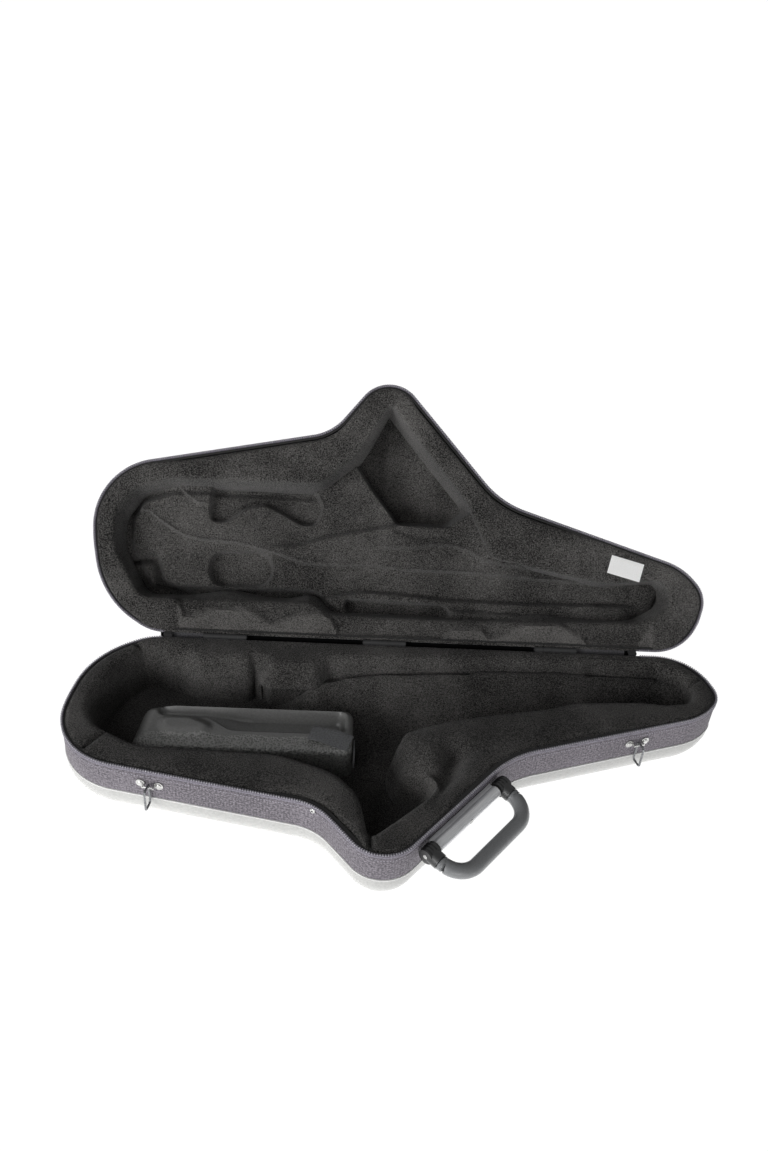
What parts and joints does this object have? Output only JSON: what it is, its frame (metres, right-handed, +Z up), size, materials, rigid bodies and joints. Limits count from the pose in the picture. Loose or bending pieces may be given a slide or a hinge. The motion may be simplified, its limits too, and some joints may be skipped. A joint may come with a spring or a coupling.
{
  "type": "tenor saxophone case",
  "caption": "Shaped hard case for a tenor saxophone, open on its long hinge side, with a plush interior, a moulded tray, a carrying handle and strap rings",
  "frame": {"origin": "centre of the flat bottom that the case stands on, midway along its length", "axes": "X along the hinge, toward the narrow neck end; Y away from the person who opens it; Z up"},
  "size_m": [0.8229, 0.6378, 0.3598],
  "materials": {
    "core_shell": "matt moulded shell",
    "woven_textile": "woven textile",
    "smooth_cover": "smooth coated cloth",
    "edge_piping": "satin piping",
    "zip_tape": "woven tape",
    "zip_coil": "moulded coil",
    "plush": "short plush",
    "tray_plastic": "smooth moulding",
    "strap_web": "woven web",
    "handle_plastic": "satin moulding",
    "grip_rubber": "satin grip",
    "sleeve_metal": "satin",
    "label_cloth": "plain woven label",
    "steel": "nickel-like"
  },
  "bodies": {
    "base": {"base_bottom_cover": "smooth_cover", "base_floor_pad": "plush", "base_pad_back": "plush", "base_pad_end": "plush", "base_pad_front": "plush", "base_pad_neck": "plush", "base_piping": "edge_piping", "base_shell": "core_shell", "base_side_cover": "woven_textile", "base_zip_coil": "zip_coil", "base_zip_tape": "zip_tape", "body_bed": "plush", "handle_pin": "steel", "handle_screw": "steel", "handle_sleeve": "sleeve_metal", "hinge_leaf_base_1": "steel", "hinge_leaf_base_2": "steel", "hinge_leaf_base_3": "steel", "hinge_pin_1": "steel", "hinge_pin_2": "steel", "hinge_pin_3": "steel", "hinge_rivets_base": "steel", "neck_tray": "tray_plastic", "rim_eyelet": "steel", "ring_rivets_left": "steel", "ring_rivets_right": "steel", "ring_saddle_left": "steel", "ring_saddle_right": "steel", "spine_tape_base": "zip_tape", "strap_tail": "strap_web", "zip_slider_left": "steel", "zip_slider_right": "steel"},
    "lid": {"hinge_leaf_lid_1": "steel", "hinge_leaf_lid_2": "steel", "hinge_leaf_lid_3": "steel", "lid_border_pad": "plush", "lid_insert": "plush", "lid_piping": "edge_piping", "lid_shell": "core_shell", "lid_side_cover": "woven_textile", "lid_top_cover": "smooth_cover", "lid_zip_coil": "zip_coil", "lid_zip_tape": "zip_tape", "label": "label_cloth", "spine_tape_lid": "zip_tape", "hinge_rivets_lid": "steel"},
    "handle": {"handle_collar_lower": "handle_plastic", "handle_collar_upper": "handle_plastic", "handle_grip": "grip_rubber"},
    "strap": {"strap_flap": "strap_web"},
    "ring_left": {"strap_ring_left": "steel"},
    "ring_right": {"strap_ring_right": "steel"},
    "pull_left": {"zip_pull_left": "steel"},
    "pull_right": {"zip_pull_right": "steel"}
  },
  "joints": [
    {"name": "lid_hinge", "type": "hinge", "parent": "base", "child": "lid", "pos_m": [0, 0.13386, 0.089], "axis": [1, 0, 0], "range_deg": [0, 128.7]},
    {"name": "handle_pivot", "type": "hinge", "parent": "base", "child": "handle", "pos_m": [0.06962, -0.14505, 0.072], "axis": [0.6671, 0.7449, 0], "range_deg": [-80, 80]},
    {"name": "strap_fold", "type": "hinge", "parent": "base", "child": "strap", "pos_m": [-0.06277, -0.03078, 0.0663], "axis": [0.342, 0.9397, 0], "range_deg": [0, 110]},
    {"name": "ring_left_swing", "type": "hinge", "parent": "base", "child": "ring_left", "pos_m": [-0.29413, -0.11078, 0.067], "axis": [-0.9797, 0.2003, 0], "range_deg": [0, 85]},
    {"name": "ring_right_swing", "type": "hinge", "parent": "base", "child": "ring_right", "pos_m": [0.297, -0.01583, 0.067], "axis": [-0.9564, -0.292, 0], "range_deg": [0, 85]},
    {"name": "pull_left_swing", "type": "hinge", "parent": "base", "child": "pull_left", "pos_m": [-0.30618, 0.13846, 0.0877], "axis": [1, 0, 0], "range_deg": [0, 50]},
    {"name": "pull_right_swing", "type": "hinge", "parent": "base", "child": "pull_right", "pos_m": [0.31521, 0.13846, 0.0877], "axis": [1, 0, 0], "range_deg": [0, 50]}
  ]
}
